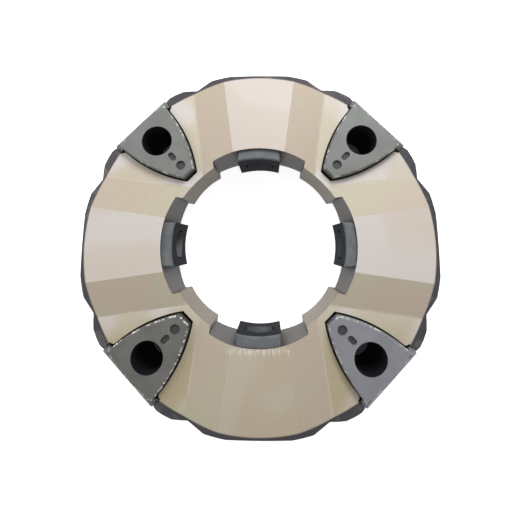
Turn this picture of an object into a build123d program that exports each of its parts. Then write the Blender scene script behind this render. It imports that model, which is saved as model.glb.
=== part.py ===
from build123d import *

import os
from math import acos, asin, cos, degrees, radians, sin, tan

# Flexible disc coupling between an engine's flywheel and a pump's shaft.
# A moulded elastomer ring holds four axial aluminium inserts, which bolt to the flywheel,
# and four radial aluminium inserts in its bore, which bolt to the pump's hub.
#
# Frame: millimetres. Z is the coupling's axis, and Z = 0 is the flange side of the axial inserts.
# The radial inserts lie on the X and Y axes, and the axial inserts lie between them.

os.makedirs("parts", exist_ok=True)

# ---------------------------------------------------------------- whole coupling
overall_height = 45.0          # axial inserts, from flange side to bolt-head side
bolt_circle = 165.0            # axial bolts to the flywheel
hub_bore = 96.0                # seat on the pump's hub, between the radial inserts
insert_pairs = 4               # an axial and a radial insert each
quarter = 360 / insert_pairs   # angle between two inserts of a kind
hub_angles = [quarter * k for k in range(insert_pairs)]
insert_angles = [quarter / 2 + angle for angle in hub_angles]

# ---------------------------------------------------------------- axial inserts
bolt_hole = 17.0               # clearance for the axial bolts
heel_wall = 14.7               # from the bolt circle to the rounded outer edge of the faces
heel_half_width = 17.3
flank_half_width = 13.9        # half way between tip and heel
tip_half_width = 3.9
face_bevel = 0.8
flange_reach = 3.0             # flat outer side beyond the faces' outer edge
flange_thickness = 5.7
flange_overhang = 2.7          # flange wider than the faces at their heel, on each side
flange_setback = 2.0           # ends of the flange below the faces
flange_slope_height = 6.0      # sloping shoulders at the flange's ends
flange_slope_depth = 3.4
flange_rounding = 2.0
mark_depth = 1.5               # casting marks in the bolt-head side
round_mark_diameter = 5.2
round_mark_inset = 6.6         # from the tip
oval_mark_length = 5.4
oval_mark_width = 3.2

# ---------------------------------------------------------------- relief round the axial inserts
relief_depth = 6.0             # below the flat facets
relief_at_tip = 1.8
relief_at_flank = 1.0
relief_at_heel = 0.5
relief_at_flange = 1.5
relief_rounding = 2.0
fillet_share = 0.95            # a fillet takes up at most this share of its wall

# ---------------------------------------------------------------- moulded ring, faces
plateau_setback = 0.5          # raised faces below the insert faces
plateau_rise = 4.5             # raised faces above the flat facets beside the inserts
plateau_half_width = 17.9      # half way between bore and rim
crease_spread = 8.0            # angle of each crease to its quadrant's centre line
slope_width = 19.2             # sloping facet beside a raised face

# ---------------------------------------------------------------- moulded ring, outer wall
rim_setback = 1.0              # rim of the ring's faces inside the inserts' outer edge
rim_land = 0.5                 # upright edge below the flat facets
flare_height = 4.0             # height in which the wall runs out to the shoulders
shoulder_reach = 7.8           # shoulders beside the axial inserts, beyond the rim
shoulder_angle = 33.5
valley_reach = 1.4             # waists between shoulders and bosses, beyond the rim
valley_angle = 22.5
boss_reach = 5.6               # bosses of the radial bolts, beyond the rim
boss_half_angle = 16.5
pad_depth = 1.5                # flat pads for the radial bolts, cut across the bosses
outline_rounding = 3.0

# ---------------------------------------------------------------- moulded ring, bore
web_clearance = 2.1            # webs clear of the hub
web_thickness = 3.9            # from a web's bore wall to the relief at an insert's tip
bay_depth = 5.9                # bays beside the radial inserts, clear of the hub
bay_half_angle = 29.5          # half opening of a bay at its outer wall
bay_step_slant = 1.5           # extra half opening of a bay at the webs
bore_rounding = 0.8

# ---------------------------------------------------------------- radial inserts
hub_insert_setback = 2.5       # ends of the block below the axial inserts' faces
hub_insert_half_width = 12.2
hub_insert_root = 2.1          # the block's depth in the bay wall
hub_insert_bevel = 0.8
neck_half_width = 10.0
anchor_length = 16.0           # from the block's back to the seat of the bolt's head
anchor_half_width = 18.0
anchor_height = 32.0
anchor_rounding = 3.0
hub_bolt_hole = 17.0           # clearance for the radial bolts
hub_bolt_access = 28.0         # way for a radial bolt's head through the ring

# ---------------------------------------------------------------- derived sizes
middle = overall_height / 2
plateau_top = overall_height - plateau_setback
plateau_bottom = plateau_setback
facet_top = plateau_top - plateau_rise
facet_bottom = plateau_bottom + plateau_rise

bolt_distance = bolt_circle / 2
heel_radius = bolt_distance + heel_wall
flange_half_width = heel_half_width + flange_overhang
flange_distance = heel_radius + flange_reach
flange_inner = flange_distance - flange_thickness
rim_radius = heel_radius - rim_setback
shoulder_radius = rim_radius + shoulder_reach
valley_radius = rim_radius + valley_reach
boss_radius = rim_radius + boss_reach
pad_distance = boss_radius - pad_depth
pad_half_angle = degrees(acos(pad_distance / boss_radius))

hub_radius = hub_bore / 2
web_radius = hub_radius + web_clearance
bay_radius = hub_radius + bay_depth
relief_tip = web_radius + web_thickness
insert_tip = relief_tip + relief_at_tip
flank_distance = (insert_tip + heel_radius) / 2
round_mark_distance = insert_tip + round_mark_inset
round_mark_end = round_mark_distance + round_mark_diameter / 2
oval_mark_distance = (round_mark_end + bolt_distance - bolt_hole / 2) / 2
block_back = bay_radius + hub_insert_root
anchor_seat = block_back + anchor_length

face_middle = (bay_radius + rim_radius) / 2
beyond = 20.0                  # how far a cutting form runs past what it cuts


def polar(radius, angle):
    """Point at a radius and an angle about the coupling's axis."""
    return (radius * cos(radians(angle)), radius * sin(radians(angle)))


def arc_about_axis(radius, start, end):
    """Arc about the coupling's axis, between two angles."""
    return ThreePointArc(polar(radius, start), polar(radius, (start + end) / 2), polar(radius, end))


def arrowhead(tip, tip_half, flank, flank_half, heel, heel_half):
    """Arrowhead that points at the axis: a blunt tip, bowed flanks, and a heel about the axis."""
    heel_angle = degrees(asin(heel_half / heel))
    heel_x = heel * cos(radians(heel_angle))
    Line((tip, -tip_half), (tip, tip_half))
    ThreePointArc((tip, tip_half), (flank, flank_half), (heel_x, heel_half))
    arc_about_axis(heel, heel_angle, -heel_angle)
    ThreePointArc((heel_x, -heel_half), (flank, -flank_half), (tip, -tip_half))


# ---------------------------------------------------------------- axial insert, along +X
# outer flange, wider than the bolting faces, with sloping ends
flange_bottom = flange_setback
flange_top = overall_height - flange_setback
with BuildPart() as insert_flange:
    with BuildSketch(Plane.XY.offset(flange_bottom)) as flange_outline:
        with Locations((flange_inner, 0)):
            Rectangle(flange_thickness, 2 * flange_half_width, align=(Align.MIN, Align.CENTER))
        fillet(flange_outline.vertices().group_by(Axis.X)[-1], radius=flange_rounding)
    extrude(amount=flange_top - flange_bottom)
    # slopes of the outer side, seen from the side
    with BuildSketch(Plane.XZ):
        with BuildLine():
            Polyline(
                (flange_inner, flange_bottom),
                (flange_distance - flange_slope_depth, flange_bottom),
                (flange_distance, flange_bottom + flange_slope_height),
                (flange_distance, flange_top - flange_slope_height),
                (flange_distance - flange_slope_depth, flange_top),
                (flange_inner, flange_top),
                close=True,
            )
        make_face()
    extrude(amount=flange_half_width, both=True, mode=Mode.INTERSECT)
    # slopes of the two ends, seen along the radius
    with BuildSketch(Plane.YZ.offset(flange_inner)):
        with BuildLine():
            Polyline(
                (flange_half_width - flange_slope_depth, flange_bottom),
                (flange_half_width, flange_bottom + flange_slope_height),
                (flange_half_width, flange_top - flange_slope_height),
                (flange_half_width - flange_slope_depth, flange_top),
                (flange_slope_depth - flange_half_width, flange_top),
                (-flange_half_width, flange_top - flange_slope_height),
                (-flange_half_width, flange_bottom + flange_slope_height),
                (flange_slope_depth - flange_half_width, flange_bottom),
                close=True,
            )
        make_face()
    extrude(amount=flange_thickness, mode=Mode.INTERSECT)

# whole casting, before its holes and marks
with BuildPart() as axial_casting:
    with BuildSketch():
        with BuildLine():
            arrowhead(
                insert_tip,
                tip_half_width,
                flank_distance,
                flank_half_width,
                heel_radius,
                heel_half_width,
            )
        make_face()
    extrude(amount=overall_height)
    chamfer(axial_casting.faces().filter_by(Axis.Z).edges(), length=face_bevel)
    add(insert_flange.part)

with BuildPart() as axial_insert:
    add(axial_casting.part)
    with BuildSketch(Plane.XY.offset(overall_height)):
        with Locations((bolt_distance, 0)):
            Circle(bolt_hole / 2)
    extrude(amount=-overall_height, mode=Mode.SUBTRACT)
    # casting marks
    with BuildSketch(Plane.XY.offset(overall_height)):
        with Locations((round_mark_distance, 0)):
            Circle(round_mark_diameter / 2)
        with Locations((oval_mark_distance, 0)):
            SlotOverall(oval_mark_length, oval_mark_width)
    extrude(amount=-mark_depth, mode=Mode.SUBTRACT)

# ---------------------------------------------------------------- radial insert, along +X
with BuildPart() as radial_casting:
    # block that shows in the bore
    with BuildSketch(Plane.XY.offset(hub_insert_setback)):
        Rectangle(block_back, 2 * hub_insert_half_width, align=(Align.MIN, Align.CENTER))
        Circle(hub_radius, mode=Mode.SUBTRACT)
    extrude(amount=overall_height - 2 * hub_insert_setback)
    chamfer(radial_casting.faces().filter_by(Axis.Z).edges(), length=hub_insert_bevel)
    # anchor inside the ring, which widens outward so that it can't pull out
    with BuildSketch(Plane.XY.offset(middle)) as anchor_outline:
        with BuildLine():
            Polyline(
                (block_back, -neck_half_width),
                (anchor_seat, -anchor_half_width),
                (anchor_seat, anchor_half_width),
                (block_back, neck_half_width),
                close=True,
            )
        make_face()
        fillet(anchor_outline.vertices().group_by(Axis.X)[-1], radius=anchor_rounding)
    extrude(amount=anchor_height / 2, both=True)

with BuildPart() as radial_insert:
    add(radial_casting.part)
    with BuildSketch(Plane.YZ.offset(anchor_seat)):
        with Locations((0, middle)):
            Circle(hub_bolt_hole / 2)
    extrude(amount=-anchor_seat, mode=Mode.SUBTRACT)

# ---------------------------------------------------------------- forms that shape the ring
# outer wall seen along the axis: pad, boss, waist and shoulder, twice in each quadrant
with BuildSketch() as outer_outline:
    with BuildLine():
        for centre in hub_angles:
            following = centre + quarter
            Line(polar(boss_radius, centre - pad_half_angle), polar(boss_radius, centre + pad_half_angle))
            arc_about_axis(boss_radius, centre + pad_half_angle, centre + boss_half_angle)
            Polyline(
                polar(boss_radius, centre + boss_half_angle),
                polar(valley_radius, centre + valley_angle),
                polar(shoulder_radius, centre + shoulder_angle),
            )
            arc_about_axis(shoulder_radius, centre + shoulder_angle, following - shoulder_angle)
            Polyline(
                polar(shoulder_radius, following - shoulder_angle),
                polar(valley_radius, following - valley_angle),
                polar(boss_radius, following - boss_half_angle),
            )
            arc_about_axis(boss_radius, following - boss_half_angle, following - pad_half_angle)
    make_face()
    fillet(outer_outline.vertices(), radius=outline_rounding)

# bore: round at the webs, with a wider bay round each radial insert
with BuildSketch() as bore_outline:
    with BuildLine():
        web_end = bay_half_angle + bay_step_slant
        for centre in hub_angles:
            Line(polar(web_radius, centre - web_end), polar(bay_radius, centre - bay_half_angle))
            arc_about_axis(bay_radius, centre - bay_half_angle, centre + bay_half_angle)
            Line(polar(bay_radius, centre + bay_half_angle), polar(web_radius, centre + web_end))
            arc_about_axis(web_radius, centre + web_end, centre + quarter - web_end)
    make_face()
    fillet(bore_outline.vertices(), radius=bore_rounding)

# raised face with a sloping facet at each side, on both sides of the ring, along +X
with BuildPart() as raised_face:
    for distance in (bay_radius / 2, shoulder_radius + beyond):
        half_top = plateau_half_width + (distance - face_middle) * tan(radians(crease_spread))
        half_foot = half_top + slope_width / cos(radians(crease_spread))
        with BuildSketch(Plane.YZ.offset(distance)):
            with BuildLine():
                Polyline(
                    (half_top, plateau_top),
                    (half_foot, facet_top),
                    (half_foot, facet_bottom),
                    (half_top, plateau_bottom),
                    (-half_top, plateau_bottom),
                    (-half_foot, facet_bottom),
                    (-half_foot, facet_top),
                    (-half_top, plateau_top),
                    close=True,
                )
            make_face()
    loft(ruled=True)

# notch in the outer wall for an axial insert's flange, along +X
with BuildSketch() as flange_notch:
    with Locations((flange_inner, 0)):
        Rectangle(
            shoulder_radius + beyond - flange_inner,
            2 * flange_half_width,
            align=(Align.MIN, Align.CENTER),
        )

# gap round an axial insert at the ring's facets, along +X
relief_heel = flange_inner - relief_at_flange
with BuildSketch() as relief_outline:
    with BuildLine():
        arrowhead(
            relief_tip,
            tip_half_width,
            flank_distance,
            flank_half_width + relief_at_flank,
            heel_radius,
            heel_half_width + relief_at_heel,
        )
    make_face()
    with Locations((relief_heel, 0)):
        Rectangle(
            shoulder_radius + beyond - relief_heel,
            2 * flange_half_width,
            align=(Align.MIN, Align.CENTER),
        )
    heel_corners = relief_outline.vertices().group_by(Axis.X)[1].sort_by(Axis.Y)
    heel_step = heel_corners[-1].Y - heel_corners[-2].Y
    fillet(heel_corners[1:-1], radius=min(relief_rounding, fillet_share * heel_step))

# ---------------------------------------------------------------- moulded ring
with BuildPart() as elastic_ring:
    with BuildSketch(Plane.XY.offset(facet_bottom)):
        Circle(shoulder_radius + beyond)
    extrude(amount=facet_top - facet_bottom)
    for angle in hub_angles:
        add(raised_face.part, rotation=(0, 0, angle))
    with BuildSketch():
        add(outer_outline.sketch)
    extrude(amount=overall_height, mode=Mode.INTERSECT)
    # section of the wall: an upright rim that runs out to the shoulders
    flare_top = facet_top - rim_land
    flare_bottom = facet_bottom + rim_land
    with BuildSketch(Plane.XZ):
        with BuildLine():
            Polyline(
                (0, plateau_bottom),
                (rim_radius, plateau_bottom),
                (rim_radius, flare_bottom),
                (shoulder_radius, flare_bottom + flare_height),
                (shoulder_radius, flare_top - flare_height),
                (rim_radius, flare_top),
                (rim_radius, plateau_top),
                (0, plateau_top),
                close=True,
            )
        make_face()
    revolve(axis=Axis.Z, mode=Mode.INTERSECT)
    with BuildSketch():
        add(bore_outline.sketch)
    extrude(amount=overall_height, mode=Mode.SUBTRACT)
    # seats of the axial inserts, with the gap round them at both ends
    for angle in insert_angles:
        add(axial_casting.part, rotation=(0, 0, angle), mode=Mode.SUBTRACT)
        with BuildSketch():
            add(flange_notch.sketch, rotation=angle)
        extrude(amount=overall_height, mode=Mode.SUBTRACT)
        for facet, outward in ((facet_top, 1), (facet_bottom, -1)):
            with BuildSketch(Plane.XY.offset(facet - outward * relief_depth)):
                add(relief_outline.sketch, rotation=angle)
            extrude(amount=outward * overall_height, mode=Mode.SUBTRACT)
    # seats of the radial inserts, and the way in for their bolts
    for angle in hub_angles:
        add(radial_casting.part, rotation=(0, 0, angle), mode=Mode.SUBTRACT)
        bolt_way = Plane((0, 0, middle), x_dir=(0, 0, 1), z_dir=(*polar(1, angle), 0))
        with BuildSketch(bolt_way.offset(anchor_seat)):
            Circle(hub_bolt_access / 2)
        extrude(amount=shoulder_radius + beyond - anchor_seat, mode=Mode.SUBTRACT)
elastic_ring.part.label = "elastic_ring"
export_step(elastic_ring.part, "parts/elastic_ring.step")

# ---------------------------------------------------------------- the inserts in their places
for kind, insert, angles in (
    ("axial_insert", axial_insert, insert_angles),
    ("radial_insert", radial_insert, hub_angles),
):
    for number, angle in enumerate(angles, start=1):
        with BuildPart() as placed_insert:
            add(insert.part, rotation=(0, 0, angle))
        placed_insert.part.label = f"{kind}_{number}"
        export_step(placed_insert.part, f"parts/{kind}_{number}.step")
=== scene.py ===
# %% [markdown]
# # A flexible disc coupling
# The part joins an engine's flywheel to a pump. A ring of tan polyester elastomer holds eight
# aluminium castings: four carry the bolts into the flywheel, and four in the bore carry the bolts
# into the pump's hub. Its solids come from the CAD model, so this lesson rounds their edges, gives
# each piece the surface of the real material, and lights it on a plain pale floor.

# %% The CAD model
import math

import bpy
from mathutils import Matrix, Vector


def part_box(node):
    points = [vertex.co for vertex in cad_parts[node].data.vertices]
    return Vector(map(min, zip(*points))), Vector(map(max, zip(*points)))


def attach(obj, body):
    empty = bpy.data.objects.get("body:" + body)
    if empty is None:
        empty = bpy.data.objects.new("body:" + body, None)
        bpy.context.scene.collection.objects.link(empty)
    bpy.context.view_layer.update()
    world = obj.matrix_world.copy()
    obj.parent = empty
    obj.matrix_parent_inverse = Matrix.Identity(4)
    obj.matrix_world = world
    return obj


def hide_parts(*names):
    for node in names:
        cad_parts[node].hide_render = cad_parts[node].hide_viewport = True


MM = 0.001
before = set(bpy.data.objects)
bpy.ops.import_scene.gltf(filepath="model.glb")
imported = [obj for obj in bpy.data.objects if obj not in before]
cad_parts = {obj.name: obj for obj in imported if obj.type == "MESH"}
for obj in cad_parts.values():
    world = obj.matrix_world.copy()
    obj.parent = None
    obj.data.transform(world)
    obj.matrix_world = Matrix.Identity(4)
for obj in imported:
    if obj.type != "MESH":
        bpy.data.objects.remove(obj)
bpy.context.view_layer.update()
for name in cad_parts:
    low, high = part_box(name)
    print(name, [round((b - a) / MM, 1) for a, b in zip(low, high)])

# %% [markdown]
# ## Sizes that the finishes need
# Dirt, wear and painted light sit in certain places: dirt and painted shade on the outer wall,
# painted shade in the gaps round the castings and in the bolt holes, worn edges with painted
# highlights. The heights come from the CAD pieces' boxes, so that they follow the part. A box can't
# give a pitch circle or the radius of a rim, so those few repeat the drawing.

# %% Places on the coupling
AXIAL_INSERTS = [f"axial_insert_{n}" for n in range(1, 5)]
RADIAL_INSERTS = [f"radial_insert_{n}" for n in range(1, 5)]
FLANGE_ANGLES = [45.0, 135.0, 225.0, 315.0]
BOLT_CIRCLE_RADIUS = 82.5 * MM
BOLT_HOLE_RADIUS = 8.5 * MM
RIM_RADIUS = 96.2 * MM  # edge of the ring's faces
BAY_RADIUS = 53.9 * MM  # wall of the bays beside the radial inserts
PLATEAU_RISE = 4.5 * MM  # raised faces above the low facets beside the axial inserts
insert_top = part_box("axial_insert_1")[1][2]
ring_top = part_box("elastic_ring")[1][2]
middle_height = insert_top / 2
facet_height = ring_top - PLATEAU_RISE
back_facet_height = insert_top - facet_height
print("low facets, mm", round(facet_height / MM, 1), "and", round(back_facet_height / MM, 1))

# %% [markdown]
# ## Rounded edges
# Nothing moulded or cast has razor edges: the tool is cut with a small radius, and a die casting is
# tumbled afterwards. A Bevel modifier rounds every edge at once, but the CAD mesh is loose
# triangles. So a copy is merged, its flat faces are joined again, and the copy is bevelled and
# stands in for the CAD piece.

# %% A rounded copy of a CAD piece
SHARP_ANGLE = math.radians(25)  # edges at least this sharp are rounded
CREASE_ANGLE = math.radians(12.5)  # the ring's slopes lean by 13 degrees, and their creases stay crisp
FLAT_ANGLE = math.radians(0.5)  # faces this near to one plane are joined
WELD_DISTANCE = 0.002 * MM
FLAT_FACE_WEIGHT = 100  # large faces alone decide the shading of their corners


def rounded_copy(node, edge_radius, steps, crease, shape=None):
    """A merged copy of a CAD piece, with its edges rounded, that stands in for the piece."""
    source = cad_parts[node]
    copy = bpy.data.objects.new(f"{node}_finished", source.data.copy())
    bpy.context.scene.collection.objects.link(copy)
    copy.data.materials.clear()
    bpy.ops.object.select_all(action="DESELECT")
    copy.select_set(True)
    bpy.context.view_layer.objects.active = copy
    bpy.ops.object.mode_set(mode="EDIT")
    bpy.ops.mesh.select_all(action="SELECT")
    bpy.ops.mesh.remove_doubles(threshold=WELD_DISTANCE)
    bpy.ops.mesh.dissolve_limited(angle_limit=FLAT_ANGLE)
    bpy.ops.object.mode_set(mode="OBJECT")
    if shape:
        shape(copy)
    rounding = copy.modifiers.new("edge rounding", "BEVEL")
    rounding.width = edge_radius
    rounding.segments = steps
    rounding.limit_method = "ANGLE"
    rounding.angle_limit = SHARP_ANGLE
    rounding.use_clamp_overlap = True
    bpy.ops.object.modifier_apply(modifier=rounding.name)
    bpy.ops.object.mode_set(mode="EDIT")
    bpy.ops.mesh.select_all(action="SELECT")
    bpy.ops.mesh.dissolve_degenerate(threshold=WELD_DISTANCE)
    bpy.ops.mesh.faces_shade_smooth()
    bpy.ops.mesh.select_mode(type="EDGE")
    bpy.ops.mesh.select_all(action="DESELECT")
    bpy.ops.mesh.edges_select_sharp(sharpness=crease)
    bpy.ops.mesh.mark_sharp()
    bpy.ops.object.mode_set(mode="OBJECT")
    flat_faces = copy.modifiers.new("flat faces stay flat", "WEIGHTED_NORMAL")
    flat_faces.keep_sharp = True
    flat_faces.weight = FLAT_FACE_WEIGHT
    bpy.ops.object.modifier_apply(modifier=flat_faces.name)
    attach(copy, "root")
    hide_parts(node)
    print(copy.name, len(copy.data.polygons), "faces")
    return copy


# %% [markdown]
# ## Fuller shoulders
# The ring's wall swells out on both sides of each flange. On the real ring these shoulders are full
# and round, highest a little way from the flange, while the CAD wall runs straight from a corner
# beside the flange to the waist. Upright cuts give the wall new corners there, and each corner is
# then moved along the flange's own direction by a small amount that depends on its angle.

# %% Shaping the shoulders
# angle from a flange's middle in degrees, and how far the wall moves outwards there in millimetres
SHOULDER_FORM = ((11.0, -2.6), (13.0, -0.4), (15.5, 0.9), (18.5, 1.9), (21.0, 1.1), (23.0, 0.0))
WALL_DEPTH = 1.5 * MM  # the movement grows from none at the rim to all of it this far out
RIM_TOLERANCE = 0.1 * MM


def shoulder_shift(angle):
    """How far the wall moves at an angle from a flange's middle."""
    for (start, first), (end, second) in zip(SHOULDER_FORM, SHOULDER_FORM[1:]):
        if start <= angle <= end:
            return MM * (first + (second - first) * (angle - start) / (end - start))
    return 0.0


def select_wall(ring_copy):
    """Selects the faces of the outer wall and leaves the object in edit mode."""
    bpy.ops.object.mode_set(mode="EDIT")
    bpy.ops.mesh.select_mode(type="FACE")
    bpy.ops.mesh.select_all(action="DESELECT")
    bpy.ops.object.mode_set(mode="OBJECT")
    corners = ring_copy.data.vertices
    inner_limit = RIM_RADIUS - RIM_TOLERANCE
    for face in ring_copy.data.polygons:
        face.select = min(corners[k].co.xy.length for k in face.vertices) > inner_limit
    bpy.ops.object.mode_set(mode="EDIT")


def shape_shoulders(ring_copy):
    """Cuts the wall at the form's angles and moves the corners outwards or inwards."""
    for flange_angle in FLANGE_ANGLES[:2]:
        for offset, _ in SHOULDER_FORM[1:-1]:
            for side in (-1, 1):
                cut = math.radians(flange_angle + side * offset + 90)
                across = (math.cos(cut), math.sin(cut), 0)
                select_wall(ring_copy)
                bpy.ops.mesh.bisect(plane_co=(0, 0, 0), plane_no=across, threshold=WELD_DISTANCE)
    bpy.ops.object.mode_set(mode="OBJECT")
    moved = 0
    for corner in ring_copy.data.vertices:
        outwards = min(max((corner.co.xy.length - RIM_RADIUS) / WALL_DEPTH, 0), 1)
        if outwards == 0:
            continue
        angle = math.degrees(math.atan2(corner.co.y, corner.co.x)) % 360
        flange_angle = min(FLANGE_ANGLES, key=lambda middle: abs(middle - angle))
        shift = outwards * shoulder_shift(abs(angle - flange_angle))
        direction = math.radians(flange_angle)
        corner.co.x += shift * math.cos(direction)
        corner.co.y += shift * math.sin(direction)
        moved += shift != 0
    print("wall corners moved", moved)


# %% [markdown]
# ## The nine pieces
# A soft moulding has fuller edges than a hard casting, so the ring gets the larger radius. Its
# shallow creases are kept sharp in the shading, and its raised faces end in clear lines.

# %% The nine pieces, rounded
RING_EDGE = 0.5 * MM
CASTING_EDGE = 0.3 * MM
STEPS = 2
ring = rounded_copy("elastic_ring", RING_EDGE, STEPS, CREASE_ANGLE, shape_shoulders)
axial_pieces = [rounded_copy(name, CASTING_EDGE, STEPS, SHARP_ANGLE) for name in AXIAL_INSERTS]
radial_pieces = [rounded_copy(name, CASTING_EDGE, STEPS, SHARP_ANGLE) for name in RADIAL_INSERTS]

# %% [markdown]
# ## Helpers for materials
# A material is a small network of nodes. One helper turns a colour as a designer writes it into the
# linear value that the renderer uses, and one adds a node with its settings and its links.


# %% Colour and node helpers
def linear(code):
    """The linear colour of an sRGB hex value."""
    values = [int(code[k : k + 2], 16) / 255 for k in (1, 3, 5)]
    return (*[v / 12.92 if v <= 0.04045 else ((v + 0.055) / 1.055) ** 2.4 for v in values], 1.0)


def add_node(tree, kind, settings=None, links=None):
    """Adds a node. Settings are its own properties, or its inputs where the key is an input's place
    or name; links go from another node's output to an input."""
    node = tree.nodes.new(kind)
    for key, value in (settings or {}).items():
        if isinstance(key, int) or key in node.inputs:
            node.inputs[key].default_value = value
        else:
            setattr(node, key, value)
    for key, output in (links or {}).items():
        tree.links.new(output, node.inputs[key])
    return node


def new_material(name):
    """An empty node material and its Principled shader."""
    material = bpy.data.materials.new(name)
    material.use_nodes = True
    return material, material.node_tree, material.node_tree.nodes["Principled BSDF"]


print("white is", linear("#FFFFFF"), "mid grey is", linear("#808080"))

# %% [markdown]
# ## Where a finish changes
# Several finishes change with the distance from the coupling's axis, with height, or with the way
# the surface faces. A Map Range node turns each of those into a mask from 0 to 1.


# %% Masks
def placement(tree):
    """The place, its parts, its distance from the axis, and 1 on level faces down to 0 on upright."""
    place = add_node(tree, "ShaderNodeTexCoord").outputs["Object"]
    parts = add_node(tree, "ShaderNodeSeparateXYZ", links={0: place})
    flat = add_node(tree, "ShaderNodeCombineXYZ", links={"X": parts.outputs["X"], "Y": parts.outputs["Y"]})
    radius = add_node(tree, "ShaderNodeVectorMath", {"operation": "LENGTH"}, {0: flat.outputs[0]})
    facing = add_node(tree, "ShaderNodeNewGeometry").outputs["Normal"]
    upward = add_node(tree, "ShaderNodeSeparateXYZ", links={0: facing}).outputs["Z"]
    tilt = add_node(tree, "ShaderNodeMath", {"operation": "ABSOLUTE"}, {0: upward})
    return place, parts, radius.outputs["Value"], tilt.outputs[0]


def mask(tree, value, start, end):
    """0 before start and 1 after end; start may be the larger one."""
    settings = {"From Min": start, "From Max": end, "interpolation_type": "SMOOTHSTEP"}
    return add_node(tree, "ShaderNodeMapRange", settings, {"Value": value}).outputs["Result"]


def both(tree, first, second):
    """Where two masks overlap."""
    return add_node(tree, "ShaderNodeMath", {"operation": "MULTIPLY"}, {0: first, 1: second}).outputs[0]


def blend(tree, amount, below, above):
    """One colour over another by a mask. A colour is a hex value or another node's output."""
    node = add_node(tree, "ShaderNodeMix", {"data_type": "RGBA"}, {"Factor": amount})
    for socket, colour in ((node.inputs[6], below), (node.inputs[7], above)):
        if isinstance(colour, str):
            socket.default_value = linear(colour)
        else:
            tree.links.new(colour, socket)
    return node.outputs[2]


def speckle(tree, place, size, detail=2.0):
    """Noise whose patches are about the given size."""
    settings = {"Scale": 1.0 / size, "Detail": detail}
    return add_node(tree, "ShaderNodeTexNoise", settings, {"Vector": place}).outputs[0]


# %% [markdown]
# ## Moulded polyester elastomer
# The ring is injection-moulded polyester elastomer, a tough cousin of rubber that turns from cream
# to tan with age and oil. The mould leaves it matt and very slightly mottled. The raised faces are
# painted paler as painted sheen, and the slopes darker and more olive as painted shade. The outer
# wall is painted dark, partly dirt and partly painted shade, and the gaps round the castings are
# painted black as painted shade. The material is built in layers, each blended over the last by a
# mask, and the faces come first.

# %% The ring's faces
PALE_TAN = "#D0C9C3"
WARM_TAN = "#CCC1B6"
OLIVE_TAN = "#C3BAA6"
LOWER_SIDE_SHADE = "#E9E4D3"
NO_LOWER_SHADE = "#FFFFFF"
SLOPE_SHADE_OLIVE = "#B8B09B"
SLOPE_SHADE_WARM = "#BBAC9B"
TAN_PATCH = 42 * MM
MOTTLE_WIDTH = 1.2 * MM
MOTTLE_RANGE = 0.05
MOTTLE_DARKEST = 0.965
LEVEL = 0.992  # the raised faces lie level, and the slopes lean by 13 degrees
LEANING = 0.982
LOWER_SHADE_STARTS = -35 * MM
LOWER_SHADE_FULL = -60 * MM

elastomer, tree, shader = new_material("moulded_polyester_elastomer")
place, parts, radius, tilt = placement(tree)
patch = mask(tree, speckle(tree, place, TAN_PATCH, 1.0), 0.44, 0.56)
level = blend(tree, patch, PALE_TAN, WARM_TAN)
# painted light: the slopes are darker and more olive as painted shade, the raised faces paler as painted
# sheen
shaded_slope = blend(tree, patch, SLOPE_SHADE_OLIVE, SLOPE_SHADE_WARM)
sloping = mask(tree, tilt, LEVEL, LEANING)
face = blend(tree, sloping, level, shaded_slope)
# the low facets beside the axial inserts are yellower than the rest
low_facet = mask(tree, parts.outputs["Z"], facet_height + 0.4 * MM, facet_height)
face = blend(tree, both(tree, low_facet, patch), face, OLIVE_TAN)
# darker and yellower towards the bottom: painted shade, and a yellower tone; the slopes take little of it
lower_side = mask(tree, parts.outputs["Y"], LOWER_SHADE_STARTS, LOWER_SHADE_FULL)
lower_side = both(tree, lower_side, mask(tree, sloping, 1.2, 0.0))
lower_shade = blend(tree, lower_side, NO_LOWER_SHADE, LOWER_SIDE_SHADE)
settings = {"operation": "MULTIPLY"}
face = add_node(tree, "ShaderNodeVectorMath", settings, {0: face, 1: lower_shade}).outputs[0]
# cloth-like mottling, about a millimetre wide, from the texture of the mould
mottle = mask(tree, speckle(tree, place, MOTTLE_WIDTH), 0.3, 0.7)
settings = {"operation": "MULTIPLY_ADD", 1: MOTTLE_RANGE, 2: MOTTLE_DARKEST}
brightness = add_node(tree, "ShaderNodeMath", settings, {0: mottle}).outputs[0]
settings = {"operation": "SCALE"}
face = add_node(tree, "ShaderNodeVectorMath", settings, {0: face, "Scale": brightness}).outputs[0]
print("nodes for the faces", len(tree.nodes))

# %% [markdown]
# ## The bore and its flash
# A worn mould leaves thin, pale burrs where its halves meet. They are too thin to be a piece of
# their own, so stretched noise draws them as short hairs along one side of the bore's edge. The
# bore's walls are painted brown as painted shade, darkest in the bays beside the hub inserts.

# %% The ring's bore
BORE_SHADE_BROWN = "#8C8274"
BAY_SHADE_BROWN = "#423C39"
FLASH_PALE = "#DDD7CC"
HAIR_WIDTH = 0.9 * MM
HAIR_STRETCH = (1.0, 0.1, 0.0)
FLASH_OUTER = -58.0 * MM
FLASH_MIDDLE = -54.5 * MM
FLASH_INNER = -53 * MM
FLASH_END = 19 * MM
FLASH_FULL = 15 * MM

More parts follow.
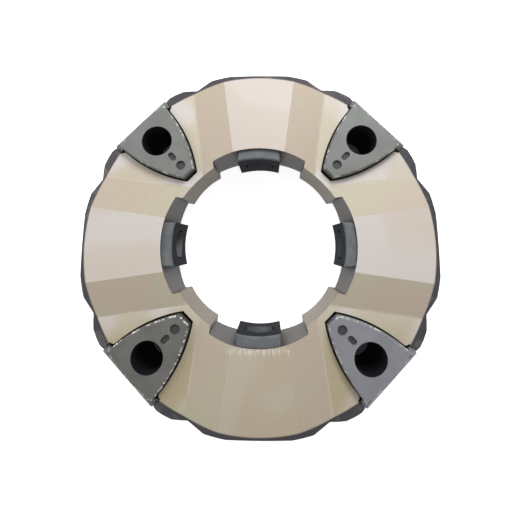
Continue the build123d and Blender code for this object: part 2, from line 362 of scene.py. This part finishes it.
settings = {"operation": "MULTIPLY", 1: HAIR_STRETCH}
stretched = add_node(tree, "ShaderNodeVectorMath", settings, {0: place}).outputs[0]
hairs = mask(tree, speckle(tree, stretched, HAIR_WIDTH), 0.5, 0.56)
outer_side = mask(tree, parts.outputs["Y"], FLASH_OUTER, FLASH_MIDDLE)
inner_side = mask(tree, parts.outputs["Y"], FLASH_INNER, FLASH_MIDDLE)
beside_bore = both(tree, outer_side, inner_side)
across = add_node(tree, "ShaderNodeMath", {"operation": "ABSOLUTE"}, {0: parts.outputs["X"]}).outputs[0]
fringe = both(tree, both(tree, hairs, beside_bore), mask(tree, across, FLASH_END, FLASH_FULL))
level_only = both(tree, fringe, mask(tree, tilt, 0.9, 0.99))
face = blend(tree, level_only, face, FLASH_PALE)
# the bore's walls are painted brown, darker in the bays: painted shade
upright = mask(tree, tilt, 0.75, 0.55)
bore = both(tree, upright, mask(tree, radius, BAY_RADIUS + 1.0 * MM, BAY_RADIUS + 0.3 * MM))
in_bay = mask(tree, radius, BAY_RADIUS - 2.0 * MM, BAY_RADIUS - 1.0 * MM)
surface = blend(tree, bore, face, blend(tree, in_bay, BORE_SHADE_BROWN, BAY_SHADE_BROWN))
print("nodes with the bore", len(tree.nodes))

# %% [markdown]
# ## Dirt and painted shade on the wall, painted shade in the gaps
# The outer wall is painted near black, partly dirt and partly painted shade, and wiped paler in
# patches. The gaps round the castings, painted black as shade, lie between the two faces, and
# between the bore and the rim, so four masks together find them.

# %% The ring's dirt and painted shade
WALL_DIRT_AND_SHADE = "#302E36"
WALL_WIPED_DIRT_AND_SHADE = "#55524F"
GAP_SHADE_BLACK = "#0C0C10"
WIPED_PATCH = 9 * MM

# the outer wall is painted dark: dirt and painted shade together
outside = mask(tree, radius, RIM_RADIUS - 0.8 * MM, RIM_RADIUS + 0.2 * MM)
wiped = mask(tree, speckle(tree, place, WIPED_PATCH, 4.0), 0.52, 0.66)
surface = blend(tree, outside, surface, blend(tree, wiped, WALL_DIRT_AND_SHADE, WALL_WIPED_DIRT_AND_SHADE))
below_faces = mask(tree, parts.outputs["Z"], facet_height - 0.3 * MM, facet_height - 1.0 * MM)
above_back = mask(tree, parts.outputs["Z"], back_facet_height + 0.3 * MM, back_facet_height + 1.0 * MM)
beyond_bore = mask(tree, radius, BAY_RADIUS + 0.3 * MM, BAY_RADIUS + 0.8 * MM)
within_rim = mask(tree, radius, RIM_RADIUS - 0.6 * MM, RIM_RADIUS - 1.0 * MM)
inside_wall = both(tree, beyond_bore, within_rim)
# the gaps round the castings are painted black: painted shade
shaded_gap = both(tree, both(tree, below_faces, above_back), inside_wall)
surface = blend(tree, shaded_gap, surface, GAP_SHADE_BLACK)
print("nodes with the dirt", len(tree.nodes))

# %% [markdown]
# ## The moulded skin
# The elastomer is matt. The mould's texture gives it a fine grain, and thick plastic shrinks as it
# cools, which leaves its faces very slightly wavy. Both are too shallow to model and are bumps.

# %% The ring's skin
ELASTOMER_ROUGHNESS = 0.55
ELASTOMER_IOR = 1.5
SINK_WIDTH = 26 * MM

tree.links.new(surface, shader.inputs["Base Color"])
shader.inputs["Roughness"].default_value = ELASTOMER_ROUGHNESS
shader.inputs["IOR"].default_value = ELASTOMER_IOR
settings = {"Strength": 0.35, "Distance": 0.05 * MM}
grain = add_node(tree, "ShaderNodeBump", settings, {"Height": mottle}).outputs[0]
sink = speckle(tree, place, SINK_WIDTH, 1.0)
settings = {"Strength": 0.25, "Distance": 0.5 * MM}
waves = add_node(tree, "ShaderNodeBump", settings, {"Height": sink, "Normal": grain}).outputs[0]
tree.links.new(waves, shader.inputs["Normal"])
ring.data.materials.append(elastomer)
print(elastomer.name, len(tree.nodes), "nodes")

# %% [markdown]
# ## Cast aluminium
# The inserts are pressure die-cast aluminium. A casting comes out of the die with a fine, dull,
# grey skin. Its edges are worn bright by rubbing and painted lighter as painted highlight, the cast
# marks are painted dark as painted shade, and the bolt holes are painted black as painted shade.

# %% The castings' colours and grain
CASTING_GREY = "#737572"
CASTING_DARK = "#6C6E6B"
WORN_SHADED_GREY = "#696864"
WORN_SHADED_DARK = "#5F5E5A"
CLEAN_GREY = "#85868B"
CLEAN_DARK = "#7D7E83"
RUBBED_AND_HIGHLIGHT = "#B9BBB8"
SCRATCH_AND_GLINT_WHITE = "#E8E8E6"
HOLE_SHADE_BLACK = "#0A0B10"
MARK_SHADE_DARK = "#3E4041"
CASTING_METALLIC = 0.4  # the oxide skin hides much of the metal
CASTING_ROUGHNESS = 0.6
GRIT_SIZE = 0.7 * MM
SKIN_PATCH = 9 * MM
RUBBED_PATCH = 3 * MM
NICK_SIZE = 1.6 * MM
MARK_STARTS = 1.2 * MM  # depth below the insert's face
MARK_FULL = 1.4 * MM


def from_nearest_bolt(tree, place):
    """Distance from the nearest flange bolt's axis, with the four quadrants folded into one."""
    bolt_axis = BOLT_CIRCLE_RADIUS / math.sqrt(2)
    folded = add_node(tree, "ShaderNodeVectorMath", {"operation": "ABSOLUTE"}, {0: place})
    settings = {"operation": "SUBTRACT", 1: (bolt_axis, bolt_axis, 0)}
    offset = add_node(tree, "ShaderNodeVectorMath", settings, {0: folded.outputs[0]})
    settings = {"operation": "MULTIPLY", 1: (1, 1, 0)}
    flat = add_node(tree, "ShaderNodeVectorMath", settings, {0: offset.outputs[0]})
    settings = {"operation": "LENGTH"}
    return add_node(tree, "ShaderNodeVectorMath", settings, {0: flat.outputs[0]}).outputs["Value"]


def inverse(tree, amount):
    """One less a mask."""
    return add_node(tree, "ShaderNodeMath", {"operation": "SUBTRACT", 0: 1.0}, {1: amount}).outputs[0]


def grit_bump(tree, place):
    """The fine grain that the die leaves."""
    grit = speckle(tree, place, GRIT_SIZE, 3.0)
    settings = {"Strength": 0.35, "Distance": 0.04 * MM}
    return add_node(tree, "ShaderNodeBump", settings, {"Height": grit}).outputs[0]


def casting_material(name, lightest, darkest, scratches):
    """Die-cast aluminium, with painted shade in its holes and marks; scratches from 0 to 1 whiten its
    edges, partly as painted highlight.
    """
    material, tree, shader = new_material(name)
    place, parts, radius, tilt = placement(tree)
    skin = mask(tree, speckle(tree, place, SKIN_PATCH, 4.0), 0.35, 0.7)
    surface = blend(tree, skin, lightest, darkest)
    # the bevelled edges are painted lighter and whiter: wear and painted highlight together
    edge = both(tree, mask(tree, tilt, 0.2, 0.5), mask(tree, tilt, 0.99, 0.9))
    edge = both(tree, edge, mask(tree, radius, RIM_RADIUS + 1.5 * MM, RIM_RADIUS + 0.5 * MM))
    rubbed_and_highlight = both(tree, edge, mask(tree, speckle(tree, place, RUBBED_PATCH, 3.0), 0.52, 0.62))
    surface = blend(tree, rubbed_and_highlight, surface, RUBBED_AND_HIGHLIGHT)
    spread = 0.14 * scratches
    nick = mask(tree, speckle(tree, place, NICK_SIZE, 2.0), 0.72 - spread, 0.76 - spread)
    surface = blend(tree, both(tree, edge, nick), surface, SCRATCH_AND_GLINT_WHITE)
    # the cast marks' recesses are painted dark: painted shade
    recess = mask(tree, parts.outputs["Z"], insert_top - MARK_STARTS, insert_top - MARK_FULL)
    shaded_mark = both(tree, recess, mask(tree, tilt, 0.9, 0.95))
    surface = blend(tree, shaded_mark, surface, MARK_SHADE_DARK)
    # the bolt holes are painted black: painted shade
    distance = from_nearest_bolt(tree, place)
    in_hole = mask(tree, distance, BOLT_HOLE_RADIUS + 0.25 * MM, BOLT_HOLE_RADIUS + 0.05 * MM)
    surface = blend(tree, in_hole, surface, HOLE_SHADE_BLACK)
    tree.links.new(surface, shader.inputs["Base Color"])
    settings = {"operation": "MULTIPLY", 1: CASTING_METALLIC}
    metallic = add_node(tree, "ShaderNodeMath", settings, {0: inverse(tree, in_hole)})
    tree.links.new(metallic.outputs[0], shader.inputs["Metallic"])
    shader.inputs["Roughness"].default_value = CASTING_ROUGHNESS
    tree.links.new(grit_bump(tree, place), shader.inputs["Normal"])
    return material


# %% [markdown]
# ## One casting isn't like the next
# Two of the four inserts are plain, one is painted darker as painted shade and scratched all along
# its edges, partly painted highlight, and one is cleaner and bluer than the rest. One function makes
# all three finishes.

# %% The axial inserts' materials
cast_aluminium = casting_material("die_cast_aluminium", CASTING_GREY, CASTING_DARK, 0.0)
# this insert is painted darker than the others: painted shade
worn_shaded_aluminium = casting_material("die_cast_aluminium_worn_and_shaded", WORN_SHADED_GREY, WORN_SHADED_DARK, 1.0)
clean_aluminium = casting_material("die_cast_aluminium_clean", CLEAN_GREY, CLEAN_DARK, 0.3)
castings = [cast_aluminium, cast_aluminium, worn_shaded_aluminium, clean_aluminium]
for piece, finish in zip(axial_pieces, castings):
    piece.data.materials.append(finish)
    print(piece.name, finish.name)

# %% [markdown]
# ## Painted shade on the hub seats
# The concave faces of the four inserts in the bore clamp on the pump's hub. They and the other
# upright faces are painted nearly black as painted shade, while the ends of the same castings stay
# dull grey.

# %% The radial inserts' material
HUB_CASTING_GREY = "#777B7E"
HUB_CASTING_DARK = "#6B6F72"
SEAT_SHADE_BLACK = "#14161E"
HUB_SKIN_PATCH = 7 * MM
HUB_CASTING_ROUGHNESS = 0.8
HUB_CASTING_SPECULAR = 0.1

shaded_hub_casting, tree, shader = new_material("die_cast_aluminium_with_painted_shade")
place, _, _, tilt = placement(tree)
skin = mask(tree, speckle(tree, place, HUB_SKIN_PATCH, 4.0), 0.35, 0.7)
surface = blend(tree, skin, HUB_CASTING_GREY, HUB_CASTING_DARK)
# upright faces, the hub seats among them, are painted nearly black: painted shade
shaded_seat = mask(tree, tilt, 0.6, 0.4)
surface = blend(tree, shaded_seat, surface, SEAT_SHADE_BLACK)
tree.links.new(surface, shader.inputs["Base Color"])
settings = {"operation": "MULTIPLY", 1: CASTING_METALLIC}
metallic = add_node(tree, "ShaderNodeMath", settings, {0: inverse(tree, shaded_seat)})
tree.links.new(metallic.outputs[0], shader.inputs["Metallic"])
shader.inputs["Roughness"].default_value = HUB_CASTING_ROUGHNESS
shader.inputs["Specular IOR Level"].default_value = HUB_CASTING_SPECULAR
tree.links.new(grit_bump(tree, place), shader.inputs["Normal"])
for piece in radial_pieces:
    piece.data.materials.append(shaded_hub_casting)
    print(piece.name, shaded_hub_casting.name)

# %% [markdown]
# ## Floor
# The part lies on a sheet of white paper that is lit until nothing of it shows but white. Here the
# sheet adds a little white for the camera and for reflections, so it stays clean and still takes
# the part's shadow. Under the ring no light gets in, so the sheet adds none there.

# %% The floor
FLOOR_SIZE = 3.0
FLOOR_DROP = 0.05 * MM
SHEET_WHITE = "#F4F4F4"
SHEET_ROUGHNESS = 0.9
SHEET_GLOW = 0.85
BORE_LIT_TO = 54 * MM
BORE_DARK_FROM = 60 * MM
RIM_DARK_TO = 93 * MM
RIM_LIT_FROM = 97 * MM


def seen_directly(tree):
    """1 for what the camera and reflections see, 0 for the light that falls on the part."""
    rays = add_node(tree, "ShaderNodeLightPath")
    seen = rays.outputs["Is Camera Ray"]
    for kind in ("Is Glossy Ray", "Is Transmission Ray"):
        links = {0: seen, 1: rays.outputs[kind]}
        seen = add_node(tree, "ShaderNodeMath", {"operation": "MAXIMUM"}, links).outputs[0]
    return seen


bpy.ops.object.select_all(action="DESELECT")
bpy.ops.mesh.primitive_plane_add(size=FLOOR_SIZE, location=(0, 0, -FLOOR_DROP))
floor = bpy.context.object
floor.name = "floor"
white_sheet, tree, shader = new_material("white_paper_sheet")
shader.inputs["Base Color"].default_value = linear(SHEET_WHITE)
shader.inputs["Roughness"].default_value = SHEET_ROUGHNESS
_, _, radius, _ = placement(tree)
open_bore = mask(tree, radius, BORE_DARK_FROM, BORE_LIT_TO)
beyond_rim = mask(tree, radius, RIM_DARK_TO, RIM_LIT_FROM)
lit = add_node(tree, "ShaderNodeMath", {"operation": "ADD"}, {0: open_bore, 1: beyond_rim}).outputs[0]
settings = {"operation": "MULTIPLY", 1: SHEET_GLOW}
glow = add_node(tree, "ShaderNodeMath", settings, {0: both(tree, seen_directly(tree), lit)})
shader.inputs["Emission Color"].default_value = (1, 1, 1, 1)
tree.links.new(glow.outputs[0], shader.inputs["Emission Strength"])
floor.data.materials.append(white_sheet)
print(floor.name, [round(side, 2) for side in floor.dimensions])

# %% [markdown]
# ## Light
# One large soft lamp stands behind the part, a little to the right, and low enough that the slopes
# turned away from it fall into shade. A weak lamp on the left and the pale room fill the rest.

# %% Lamps and room
scene = bpy.context.scene
ROOM_WHITE = "#FFFFFF"
ROOM_LIGHT = 0.3  # how strongly the room lights the part


def soft_lamp(name, place, size, power):
    """A square lamp that faces the part's middle."""
    bpy.ops.object.light_add(type="AREA", location=place)
    lamp = bpy.context.object
    lamp.name = name
    lamp.data.size = size
    lamp.data.energy = power
    aim = Vector((0, 0, middle_height)) - lamp.location
    lamp.rotation_euler = aim.to_track_quat("-Z", "Y").to_euler()
    return lamp


key_lamp = soft_lamp("key_lamp", place=(0.10, 0.31, 0.38), size=0.2, power=1.7)
fill_lamp = soft_lamp("fill_lamp", place=(-0.4, 0.2, 0.4), size=0.3, power=0.9)
room = bpy.data.worlds.new("pale_room")
scene.world = room
room.use_nodes = True
background = room.node_tree.nodes["Background"]
background.inputs["Color"].default_value = linear(ROOM_WHITE)
# what the camera and reflections see of the room is white; what lights the part is dimmer
settings = {"To Min": ROOM_LIGHT, "To Max": 1.0}
links = {"Value": seen_directly(room.node_tree)}
strength = add_node(room.node_tree, "ShaderNodeMapRange", settings, links)
room.node_tree.links.new(strength.outputs["Result"], background.inputs["Strength"])
print("lamps", key_lamp.data.energy, fill_lamp.data.energy)

# %% [markdown]
# ## Camera
# The camera looks down on the part from about a forearm's length, so the outer wall hides behind
# the rim and the far walls of the bore show. The lens is moved down a little in its frame, which
# keeps the whole ring in view while the camera stands almost upright.

# %% The camera
SENSOR_WIDTH = 36.0
FOCAL_LENGTH = 29.27
LENS_SHIFT = -0.18
CAMERA_PLACE = (0.006, 0.00003, 0.27906)
CAMERA_TURN = (0.1827, 0.022, 0.001)  # radians
lens = bpy.data.cameras.new("camera")
camera = bpy.data.objects.new("camera", lens)
scene.collection.objects.link(camera)
lens.sensor_width = SENSOR_WIDTH
lens.lens = FOCAL_LENGTH
lens.shift_y = LENS_SHIFT
camera.location = CAMERA_PLACE
camera.rotation_euler = CAMERA_TURN
scene.camera = camera
scene.view_settings.view_transform = "Standard"
print("camera tilted by", round(math.degrees(CAMERA_TURN[0]), 1), "degrees")
